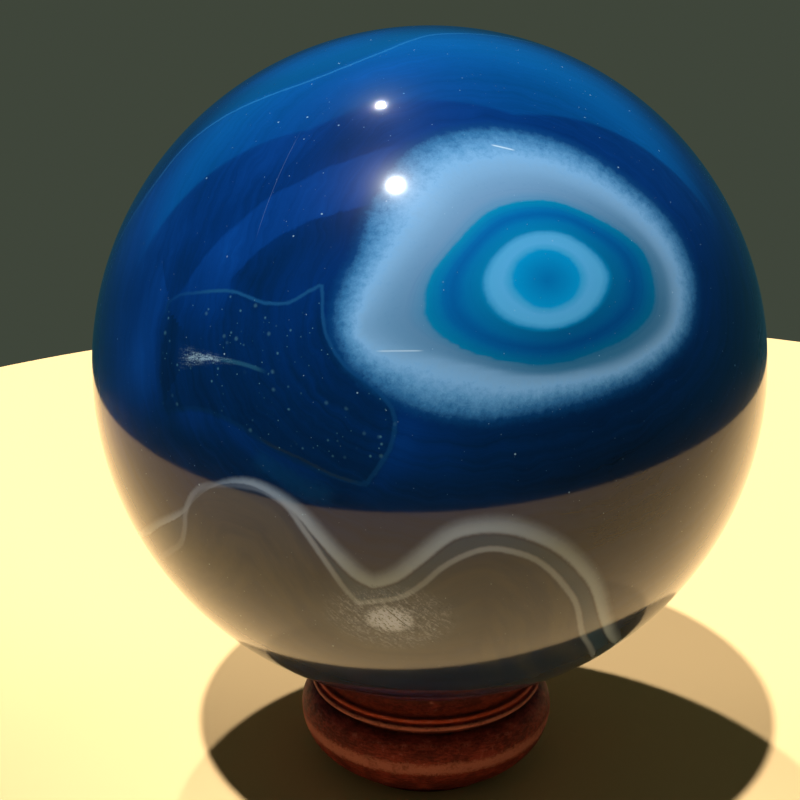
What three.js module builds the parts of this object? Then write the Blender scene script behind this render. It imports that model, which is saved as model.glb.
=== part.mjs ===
// A polished stone ball that rests in the shallow seat of a small turned wooden stand.
// Millimetres, +Z up, origin at the middle of the stand's underside.
import * as THREE from 'three';

// Driving dimensions
const BALL_DIAMETER = 80;
const BALL_CLEARANCE = 12.8;      // lowest point of the ball above the surface
const SEAT_GAP = 0.3;             // the ball is a loose piece, so it keeps this from the seat

const BEAD_DIAMETER = 32.6;       // widest ring of the stand
const BEAD_HEIGHT = 7.4;          // height of that widest ring
const SHOULDER_RADIUS = 2.9;      // round top of the bead
const UNDERSIDE_WIDTH = 7.2;      // the bead turns under on a quarter ellipse of this width
const UNDERSIDE_DEPTH = 6.7;      // and this depth
const FOOT_DIAMETER = 22;
const FOOT_CHAMFER = 0.3;

const LIP_DIAMETER = 29.8;        // thin lip above the undercut
const LIP_HEIGHT = 11.3;
const LIP_RADIUS = 0.35;
const UNDERCUT_DIAMETER = 27.8;
const RIDGE_DIAMETER = 28.8;      // fine ridge just above the lip
const RIDGE_HEIGHT = 12.05;
const RIDGE_RADIUS = 0.3;
const NECK_DIAMETER = 27.6;       // foot of the cove, just inside the ridge
const RIM_DIAMETER = 25.4;        // rim of the seat
const RIM_LAND = 0.3;
const COVE_RADIUS = 3.4;          // hollow of the wall between the ridge and the rim

const AROUND = 64;                // facets round the axis
const BALL_RINGS = 36;

const ballRadius = BALL_DIAMETER / 2;
const ballHeight = BALL_CLEARANCE + ballRadius;

function arc(centre, radii, from, to, steps) {
  // Points on an ellipse arc in the (r, z) plane. Angles in degrees, 0 outwards and 90 up.
  const points = [];
  for (let i = 0; i <= steps; i += 1) {
    const angle = THREE.MathUtils.degToRad(from + (to - from) * i / steps);
    points.push(new THREE.Vector2(centre[0] + radii[0] * Math.cos(angle), centre[1] + radii[1] * Math.sin(angle)));
  }
  return points;
}

function hollow(start, end, radius, steps) {
  // A concave arc from start to end, bowed towards the axis.
  const chord = end.clone().sub(start);
  const middle = start.clone().add(end).multiplyScalar(0.5);
  const outwards = new THREE.Vector2(chord.y, -chord.x).normalize();
  const centre = middle.addScaledVector(outwards, Math.sqrt(radius ** 2 - chord.lengthSq() / 4));
  const first = start.clone().sub(centre).angle();
  const sweep = 2 * Math.asin(chord.length() / 2 / radius);
  const points = [];
  for (let i = 0; i <= steps; i += 1) {
    const angle = first - sweep * i / steps;
    points.push(new THREE.Vector2(centre.x + radius * Math.cos(angle), centre.y + radius * Math.sin(angle)));
  }
  return points;
}

function dishHeight(radius) {
  // Height of the seat, a dish with the ball's own centre.
  return ballHeight - Math.sqrt((ballRadius + SEAT_GAP) ** 2 - radius ** 2);
}

function standOutline() {
  const foot = FOOT_DIAMETER / 2;
  const bead = BEAD_DIAMETER / 2;
  const rim = RIM_DIAMETER / 2;
  const rimHeight = dishHeight(rim - RIM_LAND);

  const undersideCentre = [bead - UNDERSIDE_WIDTH, BEAD_HEIGHT];
  const footAngle = -THREE.MathUtils.radToDeg(Math.acos((foot - undersideCentre[0]) / UNDERSIDE_WIDTH));
  const underside = arc(undersideCentre, [UNDERSIDE_WIDTH, UNDERSIDE_DEPTH], footAngle, 0, 9);

  const shoulderCentre = [bead - SHOULDER_RADIUS, BEAD_HEIGHT];
  const undercut = UNDERCUT_DIAMETER / 2;
  const shoulderEnd = THREE.MathUtils.radToDeg(Math.acos((undercut - shoulderCentre[0]) / SHOULDER_RADIUS));
  const shoulder = arc(shoulderCentre, [SHOULDER_RADIUS, SHOULDER_RADIUS], 0, shoulderEnd, 6).slice(1);

  const lip = arc([LIP_DIAMETER / 2 - LIP_RADIUS, LIP_HEIGHT], [LIP_RADIUS, LIP_RADIUS], -80, 100, 4);
  const ridge = arc([RIDGE_DIAMETER / 2 - RIDGE_RADIUS, RIDGE_HEIGHT], [RIDGE_RADIUS, RIDGE_RADIUS], -60, 110, 3);
  const wallFoot = new THREE.Vector2(NECK_DIAMETER / 2, RIDGE_HEIGHT + RIDGE_RADIUS);
  const wall = hollow(wallFoot, new THREE.Vector2(rim, rimHeight), COVE_RADIUS, 4);

  const dish = [];
  const dishSteps = 6;
  for (let i = 0; i <= dishSteps; i += 1) {
    const radius = (rim - RIM_LAND) * (1 - i / dishSteps);
    dish.push(new THREE.Vector2(radius, dishHeight(radius)));
  }

  return [
    new THREE.Vector2(0, 0),
    new THREE.Vector2(foot - FOOT_CHAMFER, 0),
    new THREE.Vector2(foot, FOOT_CHAMFER),
    ...underside,
    ...shoulder,
    ...lip,
    ...ridge,
    ...wall,
    ...dish,
  ];
}

function makeStand() {
  const geometry = new THREE.LatheGeometry(standOutline(), AROUND);
  geometry.rotateX(Math.PI / 2);
  const material = new THREE.MeshStandardMaterial({ color: '#5a2314', roughness: 0.38, metalness: 0 });
  const mesh = new THREE.Mesh(geometry, material);
  mesh.name = 'turned_stand';
  return mesh;
}

function makeBall() {
  const geometry = new THREE.SphereGeometry(ballRadius, AROUND, BALL_RINGS);
  geometry.rotateX(Math.PI / 2);
  const material = new THREE.MeshStandardMaterial({ color: '#0f4d8f', roughness: 0.06, metalness: 0 });
  const mesh = new THREE.Mesh(geometry, material);
  mesh.name = 'agate_sphere';
  mesh.position.z = ballHeight;
  return mesh;
}

const part = new THREE.Group();
part.add(makeBall(), makeStand());

export default part;
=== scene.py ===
"""Builds a polished blue agate ball on its small turned stand, with the plain stage it is shown on."""

import math
from functools import cached_property

import bmesh
import bpy
import numpy as np
from mathutils import Matrix, Vector


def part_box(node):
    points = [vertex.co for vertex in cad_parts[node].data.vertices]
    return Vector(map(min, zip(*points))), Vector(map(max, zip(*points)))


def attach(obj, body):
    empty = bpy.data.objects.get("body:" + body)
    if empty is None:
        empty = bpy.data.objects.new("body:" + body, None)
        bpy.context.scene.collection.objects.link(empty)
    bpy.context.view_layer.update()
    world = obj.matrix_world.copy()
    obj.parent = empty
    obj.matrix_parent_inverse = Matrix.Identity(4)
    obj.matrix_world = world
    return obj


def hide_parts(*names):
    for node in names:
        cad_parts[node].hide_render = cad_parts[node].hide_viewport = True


bl_info = {
    "name": "Agate Ball on a Turned Stand",
    "version": (1, 0, 0),
    "blender": (4, 5, 0),
    "location": "View3D > Sidebar > Agate Ball",
    "description": "Makes a polished blue agate ball, its turned wooden stand and a plain stage",
    "category": "Add Mesh",
}

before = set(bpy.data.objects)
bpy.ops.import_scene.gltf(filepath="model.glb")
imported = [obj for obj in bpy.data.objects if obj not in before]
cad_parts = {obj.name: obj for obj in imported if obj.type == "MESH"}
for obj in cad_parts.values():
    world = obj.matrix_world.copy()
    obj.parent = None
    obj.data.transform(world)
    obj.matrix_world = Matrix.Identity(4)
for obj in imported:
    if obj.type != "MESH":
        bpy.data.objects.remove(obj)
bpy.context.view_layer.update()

BALL_NODE = "agate_sphere"
STAND_NODE = "turned_stand"
BALL_LOW, BALL_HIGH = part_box(BALL_NODE)
STAND_LOW, STAND_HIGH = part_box(STAND_NODE)
BALL_DIAMETER = BALL_HIGH.z - BALL_LOW.z
BALL_HEIGHT = (BALL_HIGH.z + BALL_LOW.z) / 2
MM = 0.001
# Turns a width in metres into its half in millimetres.
HALF_IN_MM = 500
BALL_RADIUS_MM = BALL_DIAMETER * HALF_IN_MM

TOWARDS_FRONT_LIGHT = Vector((-0.157, -0.263, 0.952))
TOWARDS_BACK_LIGHT = Vector((-0.185, 0.316, 0.931))
LIGHT_SPREAD = 1.5
GLINT_SPREAD = 0.8
WARM_LIGHT = (1.0, 0.98, 0.94)
BACK_BEAM = {"aim": (0.013, 0.152, 0.0), "reach": 0.18}
FRONT_BEAM = {"aim": (0.0, -0.037, 0.0), "reach": 0.019, "stretch": 1.4}
FLOOR_MIDDLE = Vector((0.016, 0.058, 0.0))
CAMERA_FROM_BALL = Vector((0.0, -0.15642, 0.04412))
CAMERA_YAW = math.radians(-1.2527)
CAMERA_PITCH = math.radians(17.2395)
FILM_WIDTH_MM = 36.0

# Markings of the stone. A place on the ball is (longitude, latitude) in degrees, with longitude 0 at the
# front and growing to the right. A ring of an eye is (bearing, reach), both in degrees: bearing 0 is to the
# right and 90 up, and reach is how far the ring is from the eye's middle.
EYE_MIDDLE = (18.2, 26.7)
EYE_PUPIL = ((0, 5), (30, 4.9), (90, 4.4), (150, 4.9), (180, 5.2), (240, 4.2), (330, 4.5))
EYE_PALE_RING = (
    (0, 9.5), (60, 7.5), (120, 7.3), (180, 9.2), (195, 9.1), (210, 8.6), (270, 6.7), (330, 8),
)
EYE_TEAL_RING = (
    (10, 16.9), (45, 12.6), (75, 11.7), (120, 12.2), (150, 13.2), (180, 16.9), (190, 17.5), (200, 16.9),
    (210, 15.6), (240, 12.5), (270, 11.5), (300, 11.9), (330, 15.1), (342, 16.9),
)
EYE_GREY_HALO = (
    (0, 20.5), (30, 17.5), (60, 15.8), (90, 16.3), (120, 17.8), (150, 18), (165, 20), (180, 23.5),
    (189, 25.8), (195, 24.2), (210, 18.5), (225, 15.4), (250, 13.5), (285, 13.2), (315, 16),
    (345, 20.5),
)
EYE_BRIGHT_HALO = (
    (0, 25.3), (15, 24.6), (45, 21.6), (75, 22), (105, 24.4), (125, 25.9), (150, 25.3), (165, 25.4),
    (174, 27.2), (187, 28.9), (195, 28.6), (210, 25.9), (240, 19.9), (260, 17), (290, 16.6), (315, 19),
    (345, 24.2),
)
EYE_RINGS = (EYE_PUPIL, EYE_PALE_RING, EYE_TEAL_RING, EYE_GREY_HALO, EYE_BRIGHT_HALO)
# Bearing of the side on which the eye is lightest; the other side gets painted shade.
EYE_LIT_SIDE = 115

FAR_EYE_MIDDLE = (163, 21)
FAR_EYE_RINGS = (
    ((0, 2.6), (70, 2.1), (150, 2.8), (220, 2.2), (290, 2)),
    ((0, 4.8), (50, 4), (110, 4.3), (170, 5.4), (230, 4.2), (300, 3.7)),
    ((0, 8.8), (45, 7.4), (95, 7.9), (150, 9.6), (190, 10.2), (240, 8), (290, 6.8), (330, 7.6)),
    ((0, 11.8), (45, 10), (95, 11), (150, 13.5), (190, 14.6), (240, 10.8), (290, 9), (330, 10.2)),
    ((0, 14.6), (45, 13), (95, 14.6), (150, 17.6), (190, 18.2), (240, 13.6), (290, 11.4), (330, 12.8)),
)

POCKET_TOP = (
    (-44, 20.5), (-41.5, 22), (-38.8, 22.6), (-31, 23.8), (-24, 22.8), (-21, 23.2), (-18.5, 24.7),
    (-16.1, 26),
)
POCKET_RIGHT = (
    (-16.1, 26), (-14.4, 19), (-10.5, 14.6), (-8, 13.2), (-4.4, 8.6), (-4.6, 6), (-8.3, -0.8),
)
POCKET_BOTTOM = ((-8.3, -0.8), (-12, 0), (-22, 3.4), (-26, 5.2), (-34, 6.8), (-42, 4.8))
POCKET_LEFT = ((-42, 4.8), (-43.5, 8), (-44.6, 13), (-44, 20.5))

BAND_ONE_LEFT = (
    (-70, -25), (-51.9, -17.5), (-47.6, -14.9), (-39.4, -10.1), (-33, -4.7), (-29.4, -2.9),
    (-25.7, -2.3), (-18.1, -5.5), (-15.1, -8.9), (-11.9, -12.8), (-9.7, -15.1), (-7.8, -16.2),
)
BAND_ONE_RIGHT = (
    (-7.8, -16.2), (-4.9, -15), (-2.1, -12.5), (4.2, -7.2), (10.1, -6.7), (17.6, -9.8), (25.2, -17.1),
    (32.5, -28.6), (37.5, -34.5), (43.4, -39.3), (50.6, -44.1), (62, -48), (76, -49), (90, -44),
    (103, -35), (115, -24), (126, -15), (138, -11), (150, -14), (160, -22), (170, -29), (-178, -31),
    (-166, -26), (-154, -16), (-143, -9), (-131, -8), (-119, -14), (-106, -23), (-93, -28), (-81, -28),
    (-70, -25),
)
BAND_TWO_LEFT = (
    (-70, -31), (-46.5, -19.6), (-42, -16.4), (-39.8, -13), (-38.8, -10.2), (-34.1, -4.8),
    (-29.6, -3.5), (-22.3, -3.7), (-19.9, -5.1), (-17.9, -7.9), (-13.9, -14.8), (-12.1, -18.2),
    (-10.4, -20.6),
)
BAND_TWO_RIGHT = (
    (-10.4, -20.6), (-7.6, -19.9), (-4.6, -19.2), (-0.2, -15.9), (1.8, -13.7), (8.7, -10.4),
    (13.6, -11.7), (22.9, -20.7), (29.1, -31.8), (32.1, -35.2), (42, -44.9), (50, -50.2), (62, -54.5),
    (78, -55.5), (94, -50), (107, -40.5), (118, -30), (128, -21.5), (138, -18), (148, -21),
    (157, -28.5), (167, -36), (180, -38.5), (-167, -33), (-154, -22.5), (-143, -15.5), (-132, -14.5),
    (-120, -20.5), (-107, -29.5), (-94, -34.5), (-82, -34.5), (-70, -31),
)

UPPER_FLOW = (
    (-44, 20), (-40, 25), (-38.5, 28), (-33, 34.5), (-30, 37.5), (-24, 41), (-20, 43.3), (-12, 46.3),
    (-4, 48),
)
LOWER_FLOW = ((-32.5, 24.5), (-29, 29), (-22.5, 33.8), (-15, 36.5), (-7, 38.5))
TOP_LINE = (
    (-74, 22), (-69, 32.4), (-67.5, 37), (-66, 44), (-60, 50.5), (-50, 56), (-40, 60.3), (-22, 70),
    (-10, 76), (0, 78.5), (20, 79.5), (45, 78.5), (70, 74), (95, 66), (115, 56), (130, 44),
)
OLIVE_LINE = ((-24, 4.4), (-22, 3.6), (-18, 2.4), (-12, 0.1), (-9, -0.6))
TEAL_PATCH = ((-25, 1.6), (-21, -0.2), (-17, -2), (-12.5, -3.2))
COMET = ((-39.6, 13.3), (-34.8, 14), (-25.8, 14), (-22.8, 13.4))
FAR_FLOW = (
    (62, 6), (76, 14), (90, 27), (103, 38), (118, 43), (134, 45), (152, 49), (170, 50), (-172, 44),
    (-158, 34), (-146, 27), (-132, 27), (-118, 33), (-104, 34), (-92, 26), (-82, 14),
)

# The strokes: the runs of each, how strongly it shows, and how many millimetres it reaches on each side
# where that isn't the usual reach. The strength follows the stroke from its start (0) to its end (1), or
# the longitude where "round" is given.
USUAL_REACH = 6.0
FADED_ENDS = ((0, 0), (0.12, 1), (0.88, 1), (1, 0))
STROKES = {
    "pocket": {
        "runs": (POCKET_TOP, POCKET_RIGHT, POCKET_BOTTOM, POCKET_LEFT),
        "closed": True,
        "strength": (
            (0, 0.2), (0.05, 0.45), (0.08, 1), (0.17, 0.9), (0.28, 0.8), (0.34, 0.6), (0.42, 0.42),
            (0.5, 0.36), (0.56, 0.2), (0.62, 0.1), (0.8, 0.1), (0.86, 0), (0.97, 0), (1, 0.2),
        ),
    },
    "band_one": {
        "runs": (BAND_ONE_LEFT, BAND_ONE_RIGHT),
        "closed": True,
        "round": True,
        "strength": (
            (-65, 0.5), (-50, 0.45), (-42, 0.4), (-39.5, 0.3), (-37, 0.16), (-31.5, 0.22),
            (-28.5, 0.35), (-22, 0.55), (-16, 0.8), (-10, 0.95), (-5, 0.9), (0, 0.9), (10, 1),
            (25, 0.85), (38, 0.7), (60, 0.6), (90, 0.85), (125, 0.95), (150, 0.7), (170, 0.5),
            (200, 0.8), (225, 0.9), (250, 0.7), (275, 0.6), (295, 0.5),
        ),
    },
    "band_two": {
        "runs": (BAND_TWO_LEFT, BAND_TWO_RIGHT),
        "closed": True,
        "round": True,
        "strength": (
            (-65, 0.2), (-50, 0.25), (-41, 0.5), (-37, 0.55), (-33, 0.3), (-28, 0.3), (-22, 0.55),
            (-17, 0.8), (-8, 0.72), (0, 0.72), (10, 0.9), (20, 0.8), (35, 0.75), (60, 0.5), (100, 0.7),
            (130, 0.8), (165, 0.4), (200, 0.7), (230, 0.8), (270, 0.4), (295, 0.2),
        ),
    },
    "upper_flow": {"runs": (UPPER_FLOW,), "strength": FADED_ENDS},
    "lower_flow": {"runs": (LOWER_FLOW,), "strength": FADED_ENDS, "reach": 8},
    "top_line": {"runs": (TOP_LINE,), "strength": FADED_ENDS},
    "olive_line": {"runs": (OLIVE_LINE,), "strength": FADED_ENDS},
    "teal_patch": {"runs": (TEAL_PATCH,), "strength": FADED_ENDS},
    "comet": {"runs": (COMET,), "strength": ((0, 0), (0.08, 1), (0.3, 1), (0.6, 0.4), (1, 0))},
    "far_flow": {"runs": (FAR_FLOW,), "strength": FADED_ENDS, "reach": 8},
}

# How light the stone is at each latitude, from 0 for navy to 1 for bright cobalt.
TONE_BY_LATITUDE = (
    (-90, 0.14), (-30, 0.12), (-10, 0.15), (0, 0.2), (10, 0.28), (20, 0.42), (30, 0.56), (40, 0.62),
    (50, 0.63), (60, 0.66), (90, 0.68),
)
# Lighter and darker clouds in the stone: longitude, latitude, reach in degrees and lift.
TONE_SPOTS = (
    (-50, 9, 7, 0.32), (-60, -1, 8, 0.36), (-63, 30, 9, 0.18), (-57, 14, 9, 0.08), (-1, 5, 6, 0.18),
    (29, -2, 13, -0.15), (62, 20, 13, -0.2), (-35, 29, 4, 0.1), (38, 58, 14, -0.14), (-14, 62, 11, 0.1),
    (-18, 50, 5, -0.16), (-47, 38, 6, -0.12), (105, 6, 24, 0.22), (-112, 2, 22, 0.2),
    (176, -18, 20, 0.18), (140, 54, 18, -0.25), (-140, 40, 16, -0.2), (90, 44, 14, -0.22),
    (-95, 48, 14, -0.15), (-165, 4, 9, -0.16), (130, 2, 8, -0.14), (-84, 6, 9, -0.14),
)

# Straight scratches: two ends, half width in millimetres and strength.
SCRATCHES = (
    ((-29.5, 49), (-29.3, 32), 0.025, 0.07),
    ((-7.2, 17.5), (-0.7, 17.7), 0.05, 0.6),
    ((12.8, 47.7), (17.5, 46.6), 0.07, 0.8),
    ((118, 24), (126, 19), 0.05, 0.4),
    ((-128, 8), (-121, 14), 0.04, 0.35),
)
SCUFF_MIDDLE = (-5.8, -23.6)
SCUFF_GASH = ((-6.4, -21), (-2.6, -25.3), 0.045)
# Degrees by which the fine scratches of the scuff lean.
SCUFF_LEAN = -50


# Node trees


def arithmetic(operation, turned=False):
    """A method that adds a maths node, with the other value first where it is turned."""

    def method(self, other=0.0):
        first, second = (other, self) if turned else (self, other)
        return self.bench.node("ShaderNodeMath", {"operation": operation}, {0: first, 1: second})

    return method


class Wire:
    """A socket that takes part in sums and products, so that node maths reads as arithmetic."""

    def __init__(self, bench, socket):
        self.bench = bench
        self.socket = socket

    __add__ = arithmetic("ADD")
    __radd__ = arithmetic("ADD", turned=True)
    __sub__ = arithmetic("SUBTRACT")
    __rsub__ = arithmetic("SUBTRACT", turned=True)
    __mul__ = arithmetic("MULTIPLY")
    __rmul__ = arithmetic("MULTIPLY", turned=True)
    __truediv__ = arithmetic("DIVIDE")
    __pow__ = arithmetic("POWER")
    __abs__ = arithmetic("ABSOLUTE")


class Bench:
    """A node tree being wired."""

    def __init__(self, tree):
        self.tree = tree

    def plug(self, wire, socket):
        self.tree.links.new(wire.socket, socket)

    def node(self, kind, settings=None, sockets=None, output=0):
        """Adds a node with its settings and its sockets' values or wires. Returns one of its outputs."""
        made = self.tree.nodes.new(kind)
        for name, value in (settings or {}).items():
            setattr(made, name, value)
        self.feed(made, sockets or {})
        return Wire(self, usable(made.outputs, output))

    def feed(self, node, sockets):
        """Gives sockets of a node their values or wires."""
        for name, value in sockets.items():
            socket = usable(node.inputs, name)
            if isinstance(value, Wire):
                self.plug(value, socket)
            else:
                socket.default_value = value

    def attribute(self, name, output="Fac"):
        return self.node("ShaderNodeAttribute", {"attribute_name": name}, None, output)

    def triple(self, x=0.0, y=0.0, z=0.0):
        """Three numbers as one vector."""
        return self.node("ShaderNodeCombineXYZ", None, {"X": x, "Y": y, "Z": z})

    def split(self, vector):
        """The three numbers of a vector."""
        made = self.tree.nodes.new("ShaderNodeSeparateXYZ")
        self.plug(vector, made.inputs[0])
        return [Wire(self, output) for output in made.outputs]

    def parts(self, name):
        """The three numbers of a vector that is stored at each point."""
        return self.split(self.attribute(name, "Vector"))

    def vector(self, operation, first, second=None, scale=None):
        sockets = {0: first}
        if second is not None:
            sockets[1] = second
        if scale is not None:
            sockets["Scale"] = scale
        output = "Value" if operation in ("DOT_PRODUCT", "LENGTH") else "Vector"
        return self.node("ShaderNodeVectorMath", {"operation": operation}, sockets, output)

    def mix(self, share, first, second, blend="MIX"):
        settings = {"data_type": "RGBA", "blend_type": blend, "clamp_factor": True}
        sockets = {"Factor": share, "A": opaque(first), "B": opaque(second)}
        return self.node("ShaderNodeMix", settings, sockets, "Result")

    def step(self, value, low, high):
        """0 where value is low, 1 where it is high, and a smooth step between."""
        sockets = {"Value": value, "From Min": low, "From Max": high}
        return self.node("ShaderNodeMapRange", {"interpolation_type": "SMOOTHSTEP"}, sockets, "Result")

    def window(self, value, start, full, fading, end):
        """0 up to start, 1 from full to fading and 0 again from end, with smooth steps between."""
        return self.step(value, start, full) * self.step(value, end, fading)

    def line(self, distance, outer, inner):
        """1 within the inner distance on either side of a line, 0 beyond the outer one."""
        return self.step(abs(distance), outer, inner)

    def ramp(self, value, stops):
        made = self.node("ShaderNodeValToRGB", None, {"Fac": value}, "Color")
        fill_ramp(made.socket.node.color_ramp, stops)
        return made

    def noise(self, place, scale, detail, roughness=0.5):
        """Noise round 0."""
        sockets = {"Vector": place, "Scale": scale, "Detail": detail, "Roughness": roughness}
        return self.node("ShaderNodeTexNoise", None, sockets, "Fac") - 0.5


def usable(sockets, name):
    """The socket at a position, or the one of a name that is in use."""
    if isinstance(name, int):
        return sockets[name]
    return next(socket for socket in sockets if socket.name == name and socket.enabled)


def opaque(colour):
    return colour if isinstance(colour, Wire) or len(colour) == 4 else (*colour, 1.0)


def fill_ramp(ramp, stops):
    while len(ramp.elements) < len(stops):
        ramp.elements.new(1.0)
    for element, (place, colour) in zip(ramp.elements, stops):
        element.position = place
        element.color = opaque(colour)


class Surface(Bench):
    """The shader tree of a new material, with the colour laid so far."""

    def __init__(self, name):
        self.material = bpy.data.materials.new(name)
        self.material.use_nodes = True
        super().__init__(self.material.node_tree)
        self.colour = None

    @cached_property
    def place(self):
        """The place on the object, in millimetres."""
        return self.vector("SCALE", self.node("ShaderNodeTexCoord", output="Object"), scale=1 / MM)

    def grain(self, scale, detail, roughness=0.5):
        """Noise of one size in all directions."""
        return self.noise(self.place, scale, detail, roughness)

    def lay(self, share, tone):
        """Lays a colour over what is there."""
        self.colour = self.mix(share, self.colour, tone)

    def finish(self, sockets):
        """Sets the shader. Returns the material."""
        self.feed(self.tree.nodes["Principled BSDF"], {"Base Color": self.colour, **sockets})
        return self.material


def geometry_bench(name, inputs):
    """A new geometry tree with named inputs. Returns the tree, its bench and a wire for each input."""
    tree = bpy.data.node_groups.new(name, "GeometryNodeTree")
    tree.interface.new_socket("Geometry", in_out="INPUT", socket_type="NodeSocketGeometry")
    for title, kind in inputs.items():
        tree.interface.new_socket(title, in_out="INPUT", socket_type=kind)
    tree.interface.new_socket("Geometry", in_out="OUTPUT", socket_type="NodeSocketGeometry")
    bench = Bench(tree)
    entry = tree.nodes.new("NodeGroupInput")
    wires = {socket.name: Wire(bench, socket) for socket in entry.outputs if socket.name}
    return tree, bench, wires


def close_tree(bench, geometry, material):
    """Ends a geometry tree with smooth shading, real geometry and the material."""
    shaded = bench.node("GeometryNodeSetShadeSmooth", None, {0: geometry})
    realised = bench.node("GeometryNodeRealizeInstances", None, {0: shaded})
    coated = bench.node("GeometryNodeSetMaterial", None, {0: realised, "Material": material})
    bench.plug(coated, bench.tree.nodes.new("NodeGroupOutput").inputs[0])


def placed(name, data, **traits):
    """A new object of the scene for some data that is given a few traits."""
    for trait, value in traits.items():
        setattr(data, trait, value)
    made = bpy.data.objects.new(name, data)
    bpy.context.scene.collection.objects.link(made)
    return made


def grown_piece(name, start_mesh, tree, values):
    """The plain mesh object that a geometry tree makes from a starting mesh."""
    piece = placed(name, start_mesh)
    modifier = piece.modifiers.new("Shape", "NODES")
    modifier.node_group = tree
    for item in tree.interface.items_tree:
        if item.in_out == "INPUT" and item.name in values:
            modifier[item.identifier] = values[item.name]
    shaped = piece.evaluated_get(bpy.context.evaluated_depsgraph_get())
    mesh = bpy.data.meshes.new_from_object(shaped)
    piece.modifiers.clear()
    piece.data = mesh
    mesh.name = name
    return piece


def mesh_places(mesh):
    places = np.empty(len(mesh.vertices) * 3)
    mesh.vertices.foreach_get("co", places)
    return places.reshape(-1, 3)


def store_values(mesh, name, values):
    """Keeps one number or one vector at each point of a mesh."""
    if values.ndim == 1:
        layer = mesh.attributes.new(name, "FLOAT", "POINT")
        layer.data.foreach_set("value", values.astype(np.float32))
    else:
        layer = mesh.attributes.new(name, "FLOAT_VECTOR", "POINT")
        layer.data.foreach_set("vector", values.astype(np.float32).ravel())


# Marks on the ball


def on_ball(longitude, latitude):
    """Unit vector from the middle of the ball to a place on it."""
    longitude, latitude = np.radians(longitude), np.radians(latitude)
    level = np.cos(latitude)
    return np.stack([level * np.sin(longitude), -level * np.cos(longitude), np.sin(latitude)], -1)


def unit(vectors):
    return vectors / np.linalg.norm(vectors, axis=-1, keepdims=True)


def run_lengths(points):
    """How far along a chain of points each of them is."""
    return np.concatenate([[0], np.cumsum(np.linalg.norm(np.diff(points, axis=0), axis=1))])


def smooth_run(points, closed=False, spacing=0.01):
    """Closely spaced unit vectors on a smooth curve through some unit vectors."""
    points = np.asarray(points)
    if closed:
        points = np.vstack([points[-2:], points, points[:3]])
    along = run_lengths(points)
    slopes = np.gradient(points, along, axis=0)
    first, last = (2, len(points) - 3) if closed else (0, len(points) - 1)
    run = []
    for i in range(first, last):
        gap = along[i + 1] - along[i]
        t = np.linspace(0, 1, max(2, math.ceil(gap / spacing)), endpoint=False)[:, None]
        leaving = (2 * t ** 3 - 3 * t ** 2 + 1) * points[i] + (t ** 3 - 2 * t ** 2 + t) * gap * slopes[i]
        arriving = (3 * t ** 2 - 2 * t ** 3) * points[i + 1] + (t ** 3 - t ** 2) * gap * slopes[i + 1]
        run.append(leaving + arriving)
    run.append(points[last:last + 1])
    return unit(np.vstack(run))


class Stroke:
    """A curve on the ball, made of smooth runs that meet in corners."""

    same_place = 1e-6
    same_distance = 1e-9
    batch = 20000

    def __init__(self, *runs, closed=False):
        one_ring = closed and len(runs) == 1
        points = np.vstack([smooth_run([on_ball(*place) for place in run], one_ring) for run in runs])
        apart = np.linalg.norm(np.diff(points, axis=0), axis=1) > self.same_place
        self.points = points[np.concatenate([[True], apart])]
        self.lengths = run_lengths(self.points)
        self.closed = closed

    def measure(self, directions):
        """Distance from the curve in millimetres, positive on its left, and how far along it."""
        batches = range(0, len(directions), self.batch)
        measured = [self.measure_part(directions[start:start + self.batch]) for start in batches]
        return [np.concatenate(values) for values in zip(*measured)]

    def measure_part(self, directions):
        count = len(self.points)
        nearest = np.argmax(directions @ self.points.T, axis=1)
        best = np.full(len(directions), np.inf)
        sides = np.zeros((len(directions), 3))
        along = np.zeros(len(directions))
        for shift in (-1, 0):
            if self.closed:
                first = (nearest + shift) % (count - 1)
            else:
                first = np.clip(nearest + shift, 0, count - 2)
            a, b = self.points[first], self.points[first + 1]
            step = b - a
            t = np.clip(((directions - a) * step).sum(1) / (step * step).sum(1), 0, 1)
            gap = np.linalg.norm(directions - a - t[:, None] * step, axis=1)
            side = unit(np.cross(a, b))
            closer = gap < best - self.same_distance
            level = np.abs(gap - best) <= self.same_distance
            both = np.where(level[:, None], sides + side, sides)
            sides = np.where(closer[:, None], side, both)
            reached = self.lengths[first] + t * (self.lengths[first + 1] - self.lengths[first])
            along = np.where(closer, reached, along)
            best = np.minimum(best, gap)
        arc = 2 * np.arcsin(np.clip(best / 2, 0, 1)) * BALL_RADIUS_MM
        return np.where((directions * sides).sum(1) < 0, -arc, arc), along / self.lengths[-1]


def eye_axes(middle):
    """The middle of an eye as a unit vector, and the directions to its right and up from it."""
    middle = on_ball(*middle)
    right = unit(np.cross(np.array([0.0, 0.0, 1.0]), middle))
    return middle, right, np.cross(middle, right)


def eye_bearings(directions, axes):
    """Bearing and reach of each direction, seen from the middle of an eye, in degrees."""
    middle, right, up = axes
    bearing = np.degrees(np.arctan2(directions @ up, directions @ right)) % 360
    reach = np.degrees(np.arccos(np.clip(directions @ middle, -1, 1)))
    return bearing, reach


def ring_reach(ring, bearing, axes):
    """Reach of one ring of an eye at each bearing, with the ring smoothed through its points."""
    middle, right, up = axes
    points = []
    for turn, reach in ring:
        turn, reach = math.radians(turn), math.radians(reach)
        outward = math.cos(turn) * right + math.sin(turn) * up
        points.append(math.cos(reach) * middle + math.sin(reach) * outward)
    turns, reaches = eye_bearings(smooth_run(points, closed=True), axes)
    order = np.argsort(turns)
    return np.interp(bearing, turns[order], reaches[order], period=360)


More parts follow.
